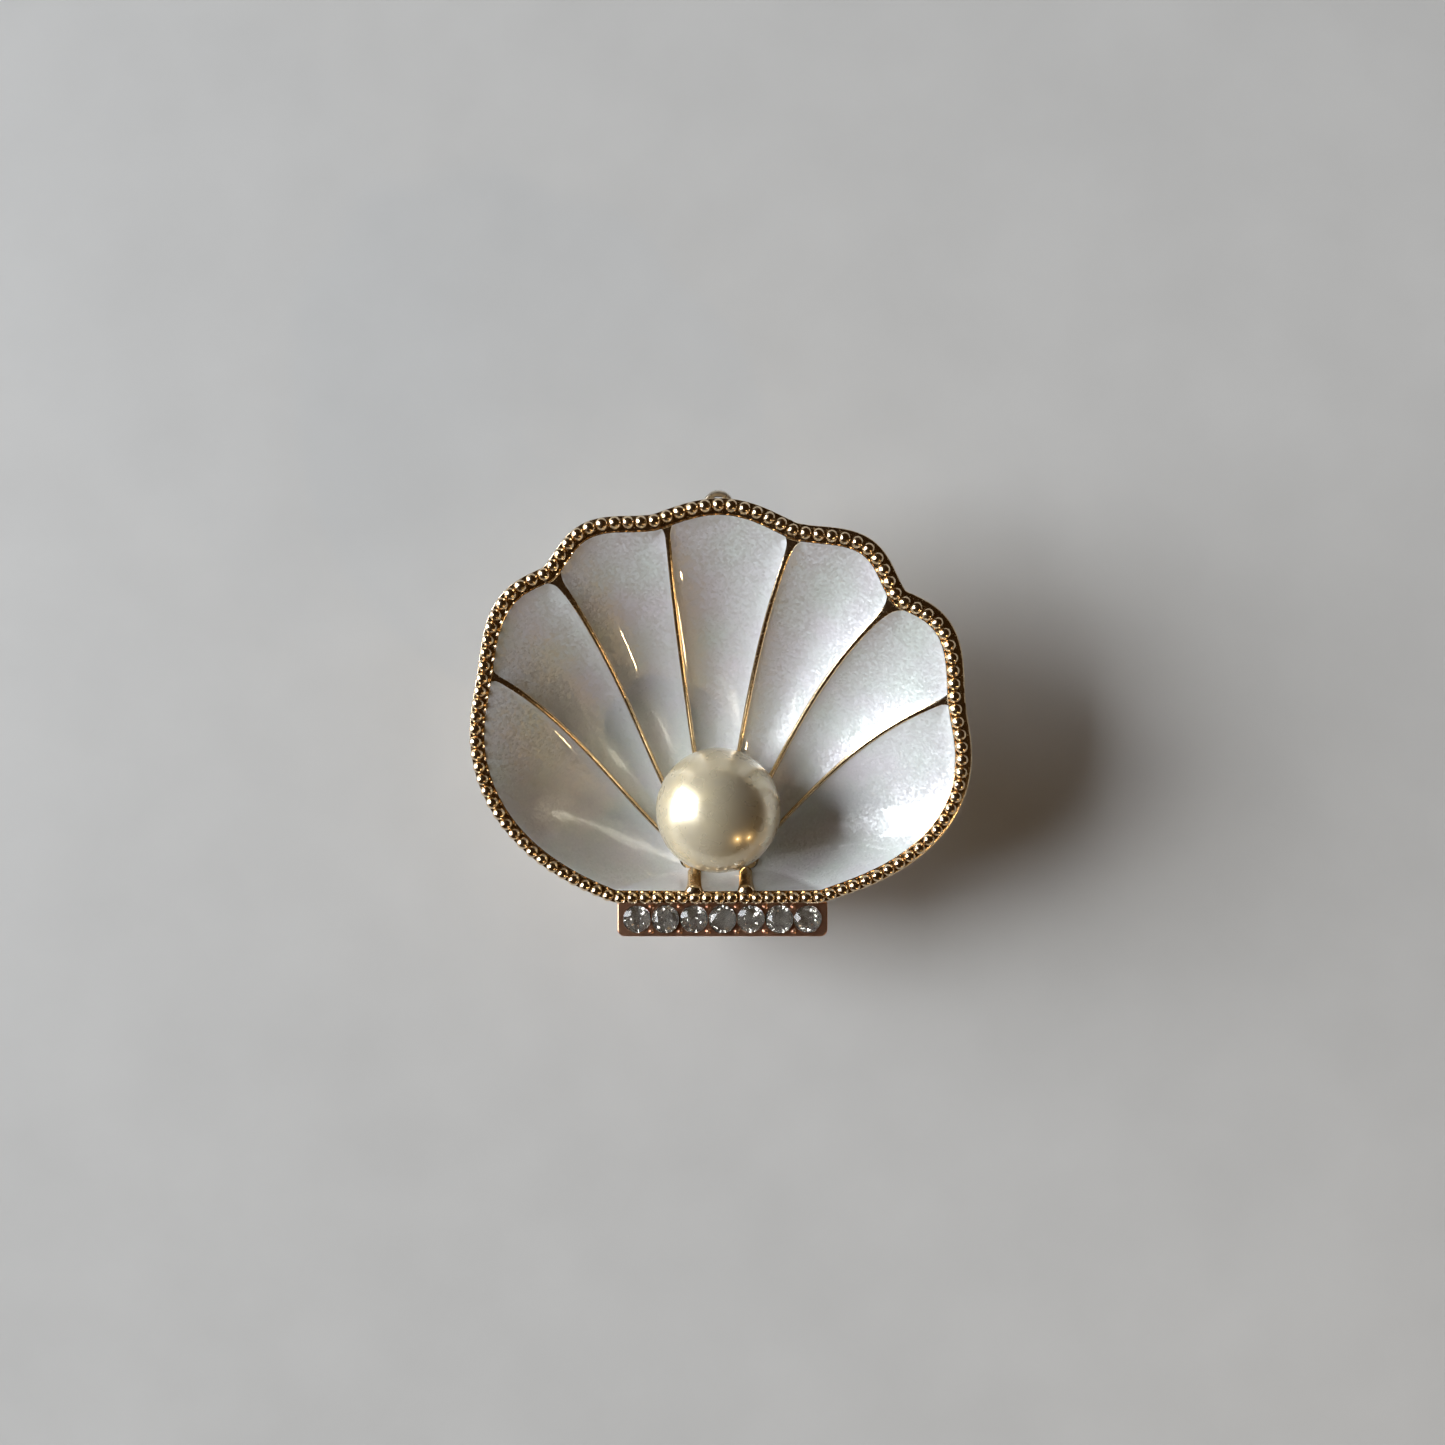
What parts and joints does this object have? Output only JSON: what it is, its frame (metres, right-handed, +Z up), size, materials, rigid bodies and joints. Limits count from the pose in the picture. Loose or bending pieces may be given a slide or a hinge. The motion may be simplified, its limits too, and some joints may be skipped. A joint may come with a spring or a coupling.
{
  "type": "hair clip",
  "caption": "Scallop-shell hair clip: pearlescent enamel lobes in a beaded gold dish with a pearl and a stone-set bar, on a sprung alligator clip.",
  "frame": {"origin": "middle of the lower jaw's flat underside, on the surface the clip lies on", "axes": "+X to the right across the shell, +Y towards the shell's crown and the clip's lever end, +Z up, out of the dish"},
  "size_m": [0.0473, 0.043, 0.0227],
  "materials": {
    "gold_plating": "polished champagne-gold plating on cast zinc alloy",
    "rose_gold_plating": "polished reddish gold plating",
    "pearl_enamel": "pearlescent white epoxy enamel, glossy",
    "pearl": "cream pearl coating, high lustre",
    "rhinestone_glass": "clear faceted glass, foil backed",
    "clip_steel": "satin champagne-plated sheet steel",
    "spring_steel": "bright spring wire",
    "solder": "dull soft solder"
  },
  "bodies": {
    "shell_and_upper_jaw": {"shell_casting": "gold_plating", "bead_border": "gold_plating", "enamel_lobe_1": "pearl_enamel", "enamel_lobe_2": "pearl_enamel", "enamel_lobe_3": "pearl_enamel", "enamel_lobe_4": "pearl_enamel", "enamel_lobe_5": "pearl_enamel", "enamel_lobe_6": "pearl_enamel", "enamel_lobe_7": "pearl_enamel", "enamel_neck": "pearl_enamel", "pearl": "pearl", "pearl_peg": "gold_plating", "stone_bar": "rose_gold_plating", "rhinestone_1": "rhinestone_glass", "rhinestone_2": "rhinestone_glass", "rhinestone_3": "rhinestone_glass", "rhinestone_4": "rhinestone_glass", "rhinestone_5": "rhinestone_glass", "rhinestone_6": "rhinestone_glass", "rhinestone_7": "rhinestone_glass", "solder_pad": "solder", "clip_upper_jaw": "clip_steel", "hinge_pin": "clip_steel", "torsion_spring": "spring_steel"},
    "lower_jaw": {"clip_lower_jaw": "clip_steel"}
  },
  "joints": [
    {"name": "jaw_hinge", "type": "hinge", "parent": "shell_and_upper_jaw", "child": "lower_jaw", "pos_m": [0, 0.005, 0.0038], "axis": [1, 0, 0], "range_deg": [0, 30], "stiffness_Nm_per_rad": 0.06, "springref_deg": -45.84, "deforming": ["torsion_spring"]}
  ]
}
